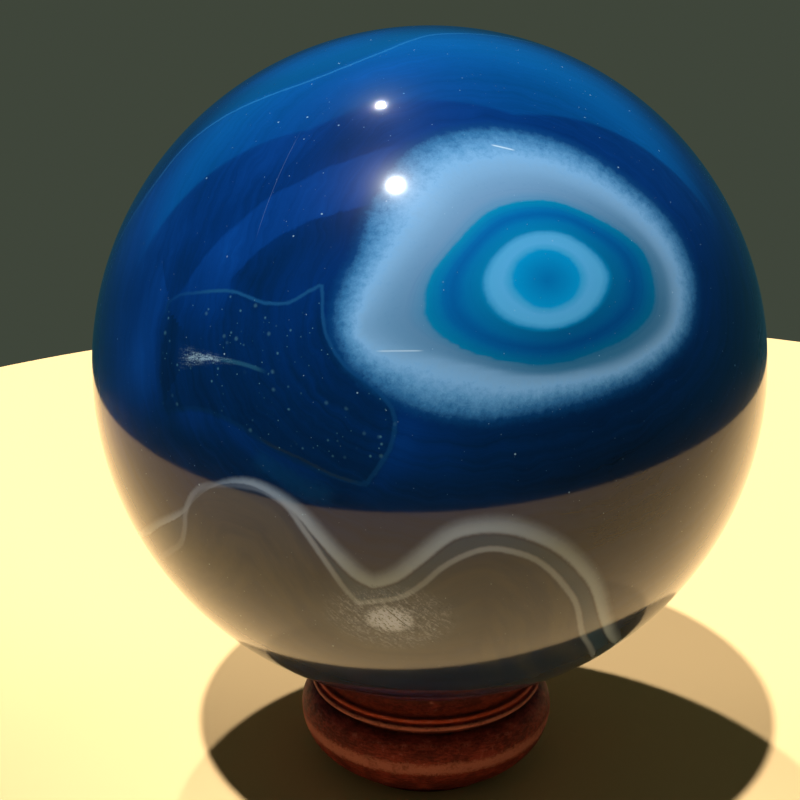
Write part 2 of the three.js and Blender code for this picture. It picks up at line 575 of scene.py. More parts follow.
def eye_layers(directions, middle, rings):
    """0 in the middle of an eye, 1 at its first ring, 2 at the second, and on beyond the last."""
    axes = eye_axes(middle)
    bearing, reach = eye_bearings(directions, axes)
    layer = np.zeros(len(directions))
    inner = np.zeros(len(directions))
    for ring in rings:
        outer = ring_reach(ring, bearing, axes)
        layer += np.clip((reach - inner) / (outer - inner), 0, 1)
        inner = outer
    beyond_degrees = 3.0
    return layer + np.clip((reach - inner) / beyond_degrees, 0, None), bearing, reach


def mark_ball(mesh, centre):
    """Stores where each point of the ball lies among the markings of the stone."""
    directions = unit(mesh_places(mesh) - centre)
    store_eye(mesh, "eye", directions, EYE_MIDDLE, EYE_RINGS)
    store_eye(mesh, "far_eye", directions, FAR_EYE_MIDDLE, FAR_EYE_RINGS)
    store_values(mesh, "tone", stone_tone(directions))
    for name, shape in STROKES.items():
        store_stroke(mesh, name, shape, directions)


def store_eye(mesh, name, directions, middle, rings):
    """Stores the layer of an eye, how lit each side of it is, and a place among its radial fibres."""
    fibres_round, fibre_length = 14, 0.12
    layer, bearing, reach = eye_layers(directions, middle, rings)
    turn = np.radians(bearing)
    lit_side = 0.5 + 0.5 * np.cos(turn - math.radians(EYE_LIT_SIDE))
    fibres = [np.cos(turn) * fibres_round, np.sin(turn) * fibres_round, reach * fibre_length]
    store_values(mesh, name + "_layer", np.stack([layer, lit_side, reach], 1))
    store_values(mesh, name + "_fibres", np.stack(fibres, 1))


def store_stroke(mesh, name, shape, directions):
    """Stores the distance from a stroke, how strongly it shows, and how far along it each point is."""
    distance, along = Stroke(*shape["runs"], closed=shape.get("closed", False)).measure(directions)
    places, strengths = zip(*shape["strength"])
    if shape.get("round"):
        longitude = np.degrees(np.arctan2(directions[:, 0], -directions[:, 1]))
        shown = np.interp(longitude, places, strengths, period=360)
    else:
        shown = np.interp(along, places, strengths)
    reach = shape.get("reach", USUAL_REACH)
    gone = reach * 1.6
    near = np.clip((gone - np.abs(distance)) / (gone - reach), 0, 1)
    store_values(mesh, name, np.stack([distance, shown * near, along], 1))


def stone_tone(directions):
    """How light the blue of the stone is, from 0 for navy to 1 for bright cobalt."""
    latitude = np.degrees(np.arcsin(np.clip(directions[:, 2], -1, 1)))
    tone = np.interp(latitude, *zip(*TONE_BY_LATITUDE))
    for longitude, latitude, reach, lift in TONE_SPOTS:
        away = np.degrees(np.arccos(np.clip(directions @ on_ball(longitude, latitude), -1, 1)))
        tone += lift * np.exp(-(away / reach) ** 2)
    return tone


def ball_tree():
    """A cube grid blown up to a ball, so that its faces are of nearly one size all over."""
    inputs = {
        "Diameter": "NodeSocketFloat",
        "Centre height": "NodeSocketFloat",
        "Cells": "NodeSocketInt",
        "Stone": "NodeSocketMaterial",
    }
    tree, bench, wires = geometry_bench("Polished ball", inputs)
    corners = wires["Cells"] + 1
    sizes = {"Size": (2.0, 2.0, 2.0), "Vertices X": corners, "Vertices Y": corners, "Vertices Z": corners}
    cube = bench.node("GeometryNodeMeshCube", None, sizes)
    place = bench.node("GeometryNodeInputPosition")
    evened = bench.vector("TANGENT", bench.vector("SCALE", place, scale=math.pi / 4))
    outward = bench.vector("SCALE", bench.vector("NORMALIZE", evened), scale=wires["Diameter"] * 0.5)
    surface = bench.vector("ADD", outward, bench.triple(z=wires["Centre height"]))
    ball = bench.node("GeometryNodeSetPosition", None, {0: cube, "Position": surface})
    close_tree(bench, ball, wires["Stone"])
    return tree


# Finishes


# Colours of the stone, from its darkest tone (0) to its lightest (1).
BLUES = (
    (0.0, (0.0, 0.0048, 0.024)),
    (0.25, (0.0, 0.0135, 0.068)),
    (0.5, (0.0, 0.0210, 0.128)),
    (0.75, (0.001, 0.0350, 0.200)),
    (1.0, (0.002, 0.0600, 0.310)),
)
SHADED_BLUE = (0.0, 0.012, 0.045)

STONE_IOR = 1.14

# Plain lines: name, waviness, distances in millimetres at which it is gone and full, strength and colour.
PLAIN_LINES = (
    ("top_line", 0.3, 0.26, 0.08, 0.7, (0.015, 0.11, 0.30)),
    ("olive_line", 0.4, 0.25, 0.08, 0.5, (0.010, 0.022, 0.040)),
    ("teal_patch", 1.6, 1.6, 0.2, 0.5, (0.001, 0.035, 0.12)),
)


class Stone(Surface):
    """The surface of the ball, with the unevenness that its markings share."""

    @cached_property
    def direction(self):
        """Where a point lies, seen from the middle of the ball."""
        return self.vector("NORMALIZE", self.vector("SUBTRACT", self.place, (0.0, 0.0, BALL_HEIGHT / MM)))

    @cached_property
    def drift(self):
        return self.grain(0.32, 2.0)

    @cached_property
    def ripple(self):
        return self.grain(1.7, 4.0, 0.6)

    def facing(self, axis):
        """1 where the ball faces along an axis, 0 across it and -1 against it."""
        return self.vector("DOT_PRODUCT", self.direction, tuple(axis))

    def streaks(self, scale, layer, detail, roughness):
        """Noise drawn out along the layers of the stone."""
        drawn = self.vector("ADD", self.vector("SCALE", self.place, scale=scale), self.triple(layer))
        return self.noise(drawn, 1.0, detail, roughness)

    def scratch(self, start, end, width):
        """1 along a straight scratch between two places on the ball."""
        a, b = on_ball(*start), on_ball(*end)
        middle = unit(a + b)
        half_length = math.acos(float(a @ middle))
        off_line = abs(self.facing(unit(np.cross(a, b)))) * BALL_RADIUS_MM
        full, none = math.cos(half_length * 0.6), math.cos(half_length * 1.1)
        return self.step(off_line, width * 2.0, width * 0.4) * self.step(self.facing(middle), none, full)


def agate_material(settings):
    """Blue agate: tone of the ground first, then pocket, lines, bands and eyes, then specks and scuffs."""
    stone = Stone("Polished blue agate")
    pocket, pocket_shown, pocket_run = stone.parts("pocket")
    pocket = pocket + stone.ripple * 0.25

    tone = stone.attribute("tone") + stone.drift * 0.12 + stone.ripple * 0.06
    tone = tone + striations(stone) + flow_tone(stone)
    tone = tone - stone.step(pocket, 0.15, -0.15) * 0.02
    tone = tone + pocket_glow(stone, pocket, pocket_run)
    stone.colour = stone.ramp(tone, BLUES)

    lay_pocket_outline(stone, pocket, pocket_shown, pocket_run)
    lay_lines(stone)
    lay_far_flow(stone)
    lay_bands(stone)
    lay_eye(stone, "far_eye", strength=0.72)
    lay_eye(stone, "eye", strength=1.0)
    lay_specks(stone, pocket)
    lay_comet(stone)
    for start, end, width, strength in SCRATCHES:
        stone.lay(stone.scratch(start, end, width) * strength, (0.5, 0.68, 0.85))
    worn = lay_scuff(stone)
    return stone.finish({
        "Coat Weight": 1.0 - worn * 0.5,
        "Roughness": settings.base_roughness,
        "IOR": STONE_IOR,
        "Coat Roughness": settings.polish_roughness,
        "Coat IOR": settings.polish_ior,
    })


def striations(stone):
    """Faint bands that run parallel round the eye, as growth layers do."""
    layer = stone.parts("eye_layer")[0]
    bands = stone.streaks(0.05, layer * 2.2 + stone.drift * 2.4, 5.0, 0.7)
    return bands * stone.step(layer, 5.0, 6.2) * 0.5


def flow_tone(stone):
    """A lighter band of cobalt on the upper left with a darker wedge under it."""
    upper, upper_shown, _ = stone.parts("upper_flow")
    lower, lower_shown, _ = stone.parts("lower_flow")
    upper = upper + stone.drift + stone.ripple * 0.4
    lower = lower + stone.drift + stone.ripple * 0.35
    band = stone.window(upper, -7.0, -4.0, -0.2, 0.2) * upper_shown
    above = stone.window(upper, 0.0, 0.3, 1.5, 5.0) * upper_shown
    wedge = stone.window(lower, -8.0, -0.5, -0.2, 0.2) * lower_shown
    return band * 0.12 - above * 0.1 - wedge * 0.24


def pocket_glow(stone, distance, run):
    """Lighter stone along the pocket's lower, left and right sides, and a darker left end inside it."""
    below = stone.window(run, 0.56, 0.62, 0.8, 0.86)
    left = stone.step(run, 0.84, 0.9)
    right = stone.window(run, 0.4, 0.46, 0.5, 0.56)
    rim = stone.window(distance, 0.0, 0.5, 0.6, 4.0)
    haze = stone.window(distance, -1.0, 1.8, 2.6, 6.0)
    shade = stone.window(distance, -5.0, -2.0, -1.2, -0.4)
    return rim * below * 0.2 + haze * left * 0.18 + rim * right * 0.16 - shade * left * 0.14


def lay_pocket_outline(stone, distance, shown, run):
    """The thin pale grey-green line round the pocket, clearest along its top and right sides."""
    width = stone.step(run, 0.3, 0.42) * 0.05 + 0.16
    line = stone.step(abs(distance) - width, 0.12, -0.12) * shown
    shade = stone.line(distance + 0.45, 0.5, 0.1) * shown * stone.step(run, 0.26, 0.3)
    stone.lay(shade * 0.6, SHADED_BLUE)
    stone.lay(line, (0.006, 0.062, 0.19))


def lay_lines(stone):
    """The pale line over the top of the ball, the olive line and the teal patch under the pocket."""
    top, top_shown, _ = stone.parts("top_line")
    beyond = stone.window(top + stone.ripple * 0.3, -0.2, 1.0, 2.0, 7.0) * top_shown
    stone.lay(beyond * 0.6, SHADED_BLUE)
    for name, waviness, outer, inner, strength, tone in PLAIN_LINES:
        distance, shown, _ = stone.parts(name)
        stone.lay(stone.line(distance + stone.ripple * waviness, outer, inner) * shown * strength, tone)


def lay_far_flow(stone):
    """A pale wandering band on the sides and the back, with two thin lines beside it."""
    flow, shown, _ = stone.parts("far_flow")
    flow = flow + stone.drift * 1.8 + stone.ripple * 0.35
    broad = stone.window(flow, -1.9, -0.2, 0.35, 0.75)
    thin = stone.line(flow - 1.9, 0.3, 0.12) + stone.line(flow - 2.9, 0.2, 0.06) * 0.5
    stone.lay(broad * shown * 0.62, (0.085, 0.215, 0.40))
    stone.lay(thin * shown * 0.5, (0.05, 0.17, 0.34))


def lay_bands(stone):
    """The broad pale band with its sharper inner edge, the thin band in it, and the greyer stone within."""
    one, one_shown, _ = stone.parts("band_one")
    two, two_shown, _ = stone.parts("band_two")
    one = one + stone.ripple * 0.2
    two = two + stone.ripple * 0.14
    streaks = stone.step(stone.streaks(0.09, two * 0.32, 4.0, 0.55), -0.12, 0.16)
    olive = stone.mix(streaks, (0.004, 0.018, 0.054), (0.036, 0.046, 0.062))
    stone.lay(stone.step(two, 0.0, -0.6) * stone.step(two, -22.0, -4.0) * 0.7, olive)
    between = stone.step(one, one_shown * -0.9, one_shown * -1.4) * stone.step(two, 0.1, 0.5) * two_shown
    stone.lay(between * 0.85, (0.012, 0.058, 0.135))
    edges = [one_shown * width for width in (-1.15, -0.6, -0.5, 1.6)]
    broad = stone.window(one, *edges) * stone.step(one_shown, 0.05, 0.5)
    stone.lay(broad * 0.9, (0.24, 0.33, 0.47))
    stone.lay(stone.line(two, 0.5, 0.1) * two_shown, (0.21, 0.28, 0.40))


# Colours of the eye from its middle (0) outwards. Each whole number is the edge of one of its rings.
EYE_COLOURS = (
    (0.0, (0.0, 0.130, 0.38)), (0.45, (0.0, 0.178, 0.45)), (0.93, (0.0, 0.240, 0.54)),
    (1.03, (0.030, 0.295, 0.58)), (1.3, (0.072, 0.340, 0.65)), (1.7, (0.066, 0.335, 0.63)),
    (1.88, (0.035, 0.270, 0.55)), (2.0, (0.0, 0.175, 0.40)), (2.3, (0.0, 0.152, 0.40)),
    (2.42, (0.0, 0.122, 0.375)), (2.52, (0.0, 0.104, 0.35)), (2.64, (0.0, 0.126, 0.385)),
    (2.8, (0.0, 0.172, 0.41)), (2.96, (0.0, 0.205, 0.42)), (3.03, (0.080, 0.240, 0.44)),
    (3.3, (0.128, 0.265, 0.46)), (3.75, (0.145, 0.300, 0.51)), (4.1, (0.165, 0.345, 0.585)),
    (4.35, (0.165, 0.370, 0.65)), (4.65, (0.088, 0.265, 0.515)), (4.95, (0.028, 0.140, 0.33)),
    (5.35, (0.003, 0.050, 0.18)),
)
EYE_SPAN = 6.0


def lay_eye(stone, name, strength):
    """Ringed eye: disc, pale ring, teal ring, grey halo and bright rim with radial fibres, with painted
    shade on one side.
    """
    layer, lit_side, _ = stone.parts(name + "_layer")
    fibres = stone.noise(stone.attribute(name + "_fibres", "Vector"), 1.0, 5.0, 0.7)
    grain = stone.grain(5.0, 3.0, 0.7)
    ripple = stone.ripple
    halo = stone.step(layer, 3.4, 4.6)
    edge = layer + stone.drift * 0.06 + ripple * 0.07
    edge = edge + (fibres * 0.34 + ripple * 0.36 + grain * 0.3) * halo
    rings = stone.ramp(edge * (1 / EYE_SPAN), [(spot / EYE_SPAN, value) for spot, value in EYE_COLOURS])
    fine = stone.step(stone.streaks(0.05, layer * 9.0, 3.0, 0.6), 0.0, 0.22)
    lined = fine * stone.window(layer, 1.95, 2.1, 3.3, 3.7) * 0.35
    # Painted shade: the teal ring and grey halo are darkened on the side away from EYE_LIT_SIDE.
    shaded = stone.window(layer, 1.95, 2.1, 3.4, 4.3) * (1.0 - lit_side)
    cloud = (ripple + fibres * 0.4 + grain * 0.5) * stone.step(layer, 3.0, 3.6)
    clouded = stone.step(cloud, 0.0, 0.35) * 0.3
    tints = ((lined, (0.6, 0.72, 0.86)), (shaded, (0.20, 0.50, 0.58)), (clouded, (0.62, 0.76, 0.85)))
    for share, tint_colour in tints:
        rings = stone.mix(share, rings, tint_colour, "MULTIPLY")
    stone.lay(stone.step(edge, 5.9, 4.95) * strength, rings)


# Specks in the stone, with sizes in millimetres: cell of the grid they are drawn from, half width, share of
# the cells that have one, strength, and sharpness.
SPECKS = ((2.6, 0.13, 0.50, 0.65, 0.4), (1.3, 0.075, 0.55, 0.5, 0.4), (0.8, 0.05, 0.6, 0.35, 0.4))
POCKET_SPECKS = (
    (1.7, 0.32, 0.4, 0.24, 0.1), (1.2, 0.19, 0.35, 0.34, 0.2), (0.8, 0.1, 0.35, 0.32, 0.3),
)


def lay_specks(stone, pocket):
    """Tiny pale specks, gathered in places, more on the upper back and softer in the pocket."""
    gathered = stone.step(stone.grain(0.09, 2.0), -0.08, 0.12)
    dusty = stone.step(stone.facing((0.0, 0.55, 0.835)), 0.45, 0.9)
    for kind in SPECKS:
        stone.lay(specks(stone, kind, gathered * 0.3 + dusty * 0.35), (0.30, 0.48, 0.66))
    inside = stone.step(pocket, 0.4, -0.4)
    cloudy = stone.step(stone.grain(0.22, 2.0), -0.12, 0.1)
    for kind in POCKET_SPECKS:
        stone.lay(specks(stone, kind, cloudy * 0.35) * inside, (0.10, 0.30, 0.42))


def specks(stone, kind, extra):
    """Round specks of one kind, with more of them where extra is high."""
    cell, size, share, strength, sharpness = kind
    sockets = {"Vector": stone.place, "Scale": 1 / cell}
    gap = stone.node("ShaderNodeTexVoronoi", None, sockets, "Distance")
    draw = stone.split(stone.node("ShaderNodeTexVoronoi", None, sockets, "Color"))[0]
    picked = stone.step(draw - extra, share, share - 0.08)
    return stone.step(gap, size / cell, size / cell * sharpness) * picked * strength


def lay_comet(stone):
    """A field of fine nicks with a broad bright head and a thin tail."""
    comet, _, run = stone.parts("comet")
    streaks = stone.noise(stone.triple(run * 9.0, comet * 3.6), 1.0, 4.0, 0.75)
    dust = stone.grain(7.0, 2.0, 0.7)
    width = stone.step(run, 0.75, 0.0) * 0.95 + 0.12
    field = stone.step(abs(comet) - width, 0.3, -0.5) * stone.window(run, 0.0, 0.1, 0.5, 0.85)
    core = stone.step(abs(comet) - width * 0.3, 0.35, -0.2) * stone.window(run, 0.08, 0.24, 0.4, 0.66)
    nicked = stone.step(streaks * 0.65 + dust * 0.35 + core * 0.07, -0.03, 0.16)
    stone.lay(field * nicked * 0.4 + core * nicked * 0.45 + core * 0.04, (0.28, 0.44, 0.58))
    tail = stone.line(comet, 0.3, 0.08) * stone.window(run, 0.4, 0.6, 0.85, 1.0)
    stone.lay(tail * 0.3, (0.03, 0.17, 0.28))


def lay_scuff(stone):
    """A worn patch low on the front with fine scratches that run one way, partly a painted glint of the
    floor's light. Returns how worn it is.
    """
    middle, right, up = eye_axes(SCUFF_MIDDLE)
    lean = math.radians(SCUFF_LEAN)
    level, rise = [stone.facing(axis) * BALL_RADIUS_MM for axis in (right, up)]
    front = stone.step(stone.facing(middle), 0.7, 0.9)

    def oval(half_width, half_height):
        return stone.step((level / half_width) ** 2 + (rise / half_height) ** 2, 1.0, 0.0) * front

    cloud, core, haze = oval(7.5, 5.5), oval(3.0, 2.3), oval(10.0, 7.0)
    along = level * math.cos(lean) + rise * math.sin(lean)
    over = rise * math.cos(lean) - level * math.sin(lean)
    lines = stone.noise(stone.triple(along * 0.8, over * 3.0), 1.0, 4.0, 0.75)
    nicks = lines * 0.65 + stone.grain(4.0, 2.0, 0.7) * 0.35
    bright = stone.step(nicks + core * 0.1, -0.01, 0.11) * (cloud * 0.5 + core * 0.5)
    dark = stone.step(nicks - core * 0.02, -0.05, -0.13) * stone.step(cloud, 0.0, 0.25)
    gash = stone.scratch(*SCUFF_GASH)
    # Painted highlight: the haze, the pale core and the bright nicks stand for the floor's light glinting
    # on the scratches.
    stone.lay(haze * 0.06, (0.30, 0.46, 0.70))
    stone.lay(core * 0.4 + cloud * 0.06, (0.50, 0.62, 0.95))
    stone.lay(bright * 0.75, (0.56, 0.68, 1.0))
    stone.lay(dark * 0.65 + gash * 0.9, (0.004, 0.010, 0.022))
    return bright * 0.3 + core * 0.1 + dark * 0.5 + gash * 0.7


# Rings of the stand, each with its radius, height and reach in millimetres and its share: the crests where
# the lacquer is rubbed off, which also carry a painted highlight on the bead and the lip, the hollows by
# the upper ridge and the neck, painted a brighter red that lifts the shade there, and painted shade next to
# the ball and under the rim.
WORN_AND_LIT_CRESTS = (
    (16.3, 6.6, 1.35, 0.95), (14.9, 11.35, 0.5, 0.85), (14.4, 12.1, 0.4, 0.3), (15.6, 9.3, 0.9, 0.2),
)
LIFTED_HOLLOWS = ((14.35, 12.0, 0.55, 0.55), (13.9, 12.9, 0.8, 0.55))
SHADED_NOOKS = ((13.2, 14.6, 1.3, 0.9), (13.6, 13.6, 0.6, 0.45), (14.2, 10.6, 0.8, 0.6))
NOOK_SHADE = (0.030, 0.014, 0.010)
WOOD_SHEEN = 0.08
GRAIN_DEPTH = 0.15 * MM


def near_rings(wood, radius, height, rings, unevenness):
    """How near a point is to the rings of a list, each with its own share, with an uneven edge."""
    total = 0.0
    for ring_radius, ring_height, reach, share in rings:
        gap = ((radius - ring_radius) ** 2 + (height - ring_height) ** 2) ** 0.5
        total = wood.step(gap + unevenness * reach, reach, reach * 0.25) * share + total
    return total


def wood_material(settings):
    """Red-brown stained wood with fine turned grain, rubbed pale on its crests with a painted highlight
    there, under an uneven lacquer.
    """
    wood = Surface("Lacquered red-brown wood")
    across, deep, height = wood.split(wood.place)
    radius = wood.vector("LENGTH", wood.triple(across, deep))
    grain = wood.noise(wood.vector("MULTIPLY", wood.place, (1.0, 1.0, 3.5)), 1.1, 5.0, 0.7)
    mottle = wood.grain(0.45, 3.0, 0.6)
    chips = wood.grain(1.2, 3.0, 0.7)
    grit = wood.grain(5.5, 3.0, 0.8)
    shade = wood.step(grain + mottle * 0.8, -0.2, 0.24)
    wood.colour = wood.mix(shade, settings.dark_wood, settings.wood_colour)
    # Painted light: a brighter red that lifts the shade in the hollows by the upper ridge and the neck.
    wood.lay(near_rings(wood, radius, height, LIFTED_HOLLOWS, chips * 0.6), settings.lifted_wood)
    # Painted shade next to the ball and under the rim.
    wood.lay(near_rings(wood, radius, height, SHADED_NOOKS, chips * 0.5 + grit * 0.4), NOOK_SHADE)
    # Crests rubbed pale, partly a painted highlight where the lit floor shines on the bead and the lip.
    worn = near_rings(wood, radius, height, WORN_AND_LIT_CRESTS, grit * 1.5 + mottle * 1.2 + chips * 2.0)
    rubbed = wood.step(worn + grit * 0.9 + mottle * 1.2 + chips * 1.8, 0.15, 1.0)
    wood.lay(rubbed * 0.9, settings.worn_and_lit_wood)
    relief = {"Strength": 0.6, "Distance": GRAIN_DEPTH, "Height": grain + grit * 0.6 + chips * 1.6}
    return wood.finish({
        "Roughness": 0.5 + grit * 0.3 + rubbed * 0.15,
        "Specular IOR Level": WOOD_SHEEN,
        "Normal": wood.node("ShaderNodeBump", None, relief),
    })


def floor_material(settings):
    floor = Surface("Plain pale floor")
    floor.colour = opaque(settings.floor_colour)
    return floor.finish({"Roughness": settings.floor_roughness, "Specular IOR Level": 0.0})


# Stand


def arc_points(centre, radii, start, end, steps):
    """Points on an ellipse arc in the (radius, height) plane, in degrees with 0 outwards and 90 up."""
    angles = np.radians(np.linspace(start, end, steps + 1))
    return [(centre[0] + radii[0] * math.cos(a), centre[1] + radii[1] * math.sin(a)) for a in angles]


def hollow_points(start, end, radius, steps):
    """A concave arc from start to end, bowed towards the axis."""
    (r0, z0), (r1, z1) = start, end
    length = math.hypot(r1 - r0, z1 - z0)
    outwards = ((z1 - z0) / length, -(r1 - r0) / length)
    depth = math.sqrt(radius ** 2 - length ** 2 / 4)
    centre = ((r0 + r1) / 2 + outwards[0] * depth, (z0 + z1) / 2 + outwards[1] * depth)
    first = math.atan2(z0 - centre[1], r0 - centre[0])
    sweep = 2 * math.asin(length / 2 / radius)
    angles = [first - sweep * i / steps for i in range(steps + 1)]
    return [(centre[0] + radius * math.cos(a), centre[1] + radius * math.sin(a)) for a in angles]


def stand_outline(settings):
    """The stand's outline from the middle of its underside to the middle of its seat, in millimetres."""
    bead = settings.bead_diameter * HALF_IN_MM
    foot = settings.foot_diameter * HALF_IN_MM
    rim = settings.rim_diameter * HALF_IN_MM
    bead_height, underside_width, underside_depth = 7.4, 7.2, 6.7
    shoulder, undercut = 2.9, 13.9
    lower_ridge, lower_size = (14.55, 11.3), (0.35, 0.35)
    upper_ridge, upper_size = (14.1, 12.05), (0.3, 0.3)
    neck, neck_radius, lip = (13.8, 12.35), 3.4, 0.3
    centre = bead - underside_width
    foot_angle = -math.degrees(math.acos((foot - centre) / underside_width))
    shoulder_end = math.degrees(math.acos((undercut - bead + shoulder) / shoulder))
    outline = [(0.0, 0.0), (foot * 0.5, 0.0), (foot - 0.6, 0.0)]
    outline += [(foot - 0.3, 0.0), (foot - 0.1, 0.07), (foot, 0.3)]
    outline += arc_points((centre, bead_height), (underside_width, underside_depth), foot_angle, 0, 40)
    outline += arc_points((bead - shoulder, bead_height), (shoulder, shoulder), 0, shoulder_end, 26)[1:]
    outline += arc_points(lower_ridge, lower_size, -80, 100, 14)
    outline += arc_points(upper_ridge, upper_size, -60, 110, 12)
    rim_height = seat_height(rim - lip)
    outline += hollow_points(neck, (rim, rim_height), neck_radius, 14)
    outline += [(rim - lip, rim_height)]
    outline += [(r, seat_height(r)) for r in np.linspace(rim - lip - 0.1, 0.0, 20)]
    return outline


def seat_height(radius):
    """Height of the dish that the ball rests in. It has the ball's own centre."""
    seat_gap = 0.3
    return BALL_HEIGHT / MM - math.sqrt((BALL_RADIUS_MM + seat_gap) ** 2 - radius ** 2)


def outline_mesh(outline):
    """An outline in the (radius, height) plane as a chain of edges."""
    mesh = bpy.data.meshes.new("Outline")
    points = [(r * MM, 0.0, z * MM) for r, z in outline]
    mesh.from_pydata(points, [(i, i + 1) for i in range(len(points) - 1)], [])
    return mesh


def lathe_tree():
    """Turns the outline that it is given once round the upright axis, and sews the ends together."""
    seam = 1e-7
    inputs = {"Around": "NodeSocketInt", "Outline points": "NodeSocketInt", "Wood": "NodeSocketMaterial"}
    tree, bench, wires = geometry_bench("Turned on the lathe", inputs)
    rows = wires["Outline points"]
    sizes = {"Size X": 1.0, "Size Y": 1.0, "Vertices X": wires["Around"] + 1, "Vertices Y": rows}
    grid = bench.node("GeometryNodeMeshGrid", None, sizes)
    across, up, _ = bench.split(bench.node("GeometryNodeInputPosition"))
    turn = (across + 0.5) * (2 * math.pi)
    row = bench.node("ShaderNodeMath", {"operation": "ROUND"}, {0: (up + 0.5) * (rows - 1)})
    point = bench.node("GeometryNodeInputPosition")
    sample = {"Geometry": wires["Geometry"], "Value": point, "Index": row}
    found = bench.node("GeometryNodeSampleIndex", {"data_type": "FLOAT_VECTOR"}, sample)
    swing = {"Vector": found, "Angle": turn}
    turned = bench.node("ShaderNodeVectorRotate", {"rotation_type": "Z_AXIS"}, swing, "Vector")
    moved = bench.node("GeometryNodeSetPosition", None, {0: grid, "Position": turned})
    sewn = bench.node("GeometryNodeMergeByDistance", None, {0: moved, "Distance": seam})
    close_tree(bench, sewn, wires["Wood"])
    return tree


# Settings


def number(name, description, default, **more):
    return bpy.props.FloatProperty(name=name, description=description, default=default, **more)


def metres(name, description, default):
    return number(name, description, default, unit="LENGTH", subtype="DISTANCE")


def fraction(name, description, default):
    return number(name, description, default, subtype="FACTOR")


def whole(name, description, default, least, most):
    return bpy.props.IntProperty(name=name, description=description, default=default, min=least, max=most)


def tint(name, description, default):
    return bpy.props.FloatVectorProperty(
        name=name, description=description, default=default, subtype="COLOR", size=3
    )


class AgateBallSettings(bpy.types.PropertyGroup):
    """Size and surface of the ball."""

    diameter: metres("Diameter", "Width of the ball", BALL_DIAMETER)
    centre_height: metres("Centre height", "Height of the ball's middle above the floor", BALL_HEIGHT)
    cells: whole("Cells", "Faces along each edge of the cube that the ball is blown up from", 120, 8, 127)
    base_roughness: fraction("Scuff glow", "Roughness of the faint glow under the polish", 0.28)
    polish_roughness: fraction("Polish roughness", "Roughness of the polished surface", 0.07)
    polish_ior: number("Polish strength", "How strongly the polish reflects", 1.52)


class TurnedStandSettings(bpy.types.PropertyGroup):
    """Sizes and colours of the stand."""

    bead_diameter: metres("Bead diameter", "Width of the widest ring", STAND_HIGH.x - STAND_LOW.x)
    foot_diameter: metres("Foot diameter", "Width of the flat underside", 0.022)
    rim_diameter: metres("Rim diameter", "Width of the seat's rim", 0.0254)
    around: whole("Around", "Faces round the stand", 256, 16, 600)
    wood_colour: tint("Wood", "Lighter colour of the stained wood", (0.215, 0.031, 0.020))
    dark_wood: tint("Dark wood", "Darker colour of the stained wood", (0.075, 0.012, 0.008))
    # Painted light: the brighter red of the hollows by the upper ridge and the neck.
    lifted_wood: tint("Stained wood", "Colour where the stain has gathered", (0.44, 0.06, 0.022))
    # Partly a painted highlight on the crests of the bead and the lip.
    worn_and_lit_wood: tint("Worn wood", "Colour where the lacquer is rubbed off", (0.36, 0.125, 0.092))


class StageSettings(bpy.types.PropertyGroup):
    """Floor, lights and camera."""

    floor_diameter: metres("Floor diameter", "Width of the round floor", 0.368)
    floor_colour: tint("Floor", "Colour of the floor", (0.82, 0.55, 0.26))
    floor_roughness: fraction("Floor roughness", "Roughness of the floor", 0.42)
    front_strength: number("Front light", "Strength of the light at the front left", 4.2)
    back_strength: number("Back light", "Strength of the light at the back left", 2.75)
    glint_strength: number("Back glint", "Strength of the back light's mirror image on the ball", 0.4)
    front_beam_strength: number("Front beam", "Strength of the light on the floor in front", 2.4)
    air_colour: tint("Surroundings", "Colour all round", (0.050, 0.061, 0.043))
    mirrored_air_colour: tint("Mirrored air", "Colour that the polish mirrors", (0.012, 0.050, 0.060))
    lens: number("Lens", "Focal length on a 36 mm film", 59.85)


# Pieces


class MakeAgateBall(bpy.types.Operator):
    """Make the polished agate ball with its markings"""

    bl_idname = "agate.make_ball"
    bl_label = "Agate Ball"

    def execute(self, context):
        settings = context.scene.agate_ball
        values = {
            "Diameter": settings.diameter,
            "Centre height": settings.centre_height,
            "Cells": settings.cells,
            "Stone": agate_material(settings),
        }
        ball = grown_piece("polished_agate", bpy.data.meshes.new("Start"), ball_tree(), values)
        mark_ball(ball.data, np.array([0.0, 0.0, settings.centre_height]))
        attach(ball, "root")
        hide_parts(BALL_NODE)
        return {"FINISHED"}


class MakeTurnedStand(bpy.types.Operator):
    """Make the small turned stand"""

    bl_idname = "agate.make_stand"
    bl_label = "Turned Stand"

    def execute(self, context):
        settings = context.scene.turned_stand
        outline = stand_outline(settings)
        values = {
            "Around": settings.around,
            "Outline points": len(outline),
            "Wood": wood_material(settings),
        }
        stand = grown_piece("lacquered_stand", outline_mesh(outline), lathe_tree(), values)
        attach(stand, "root")
        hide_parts(STAND_NODE)
        return {"FINISHED"}


class SetStage(bpy.types.Operator):
    """Set the plain floor, the lights and the camera"""

    bl_idname = "agate.set_stage"
    bl_label = "Stage"

    def execute(self, context):
        settings = context.scene.agate_stage
        floor = round_floor(settings)
        middle = Vector((0.0, 0.0, context.scene.agate_ball.centre_height))
        distant_light("front_light", TOWARDS_FRONT_LIGHT, settings.front_strength, LIGHT_SPREAD)
        glint = distant_light("back_glint", TOWARDS_BACK_LIGHT, settings.glint_strength, GLINT_SPREAD)
        glint.visible_diffuse = False
        floor_beam("back_beam", middle, TOWARDS_BACK_LIGHT, settings.back_strength, **BACK_BEAM)
        floor_beam("front_beam", middle, TOWARDS_FRONT_LIGHT, settings.front_beam_strength, **FRONT_BEAM)
        open_sky_light(middle)
        fill_world(settings)
        place_camera(settings, middle)
        context.scene.view_settings.view_transform = "Standard"
        return {"FINISHED"}


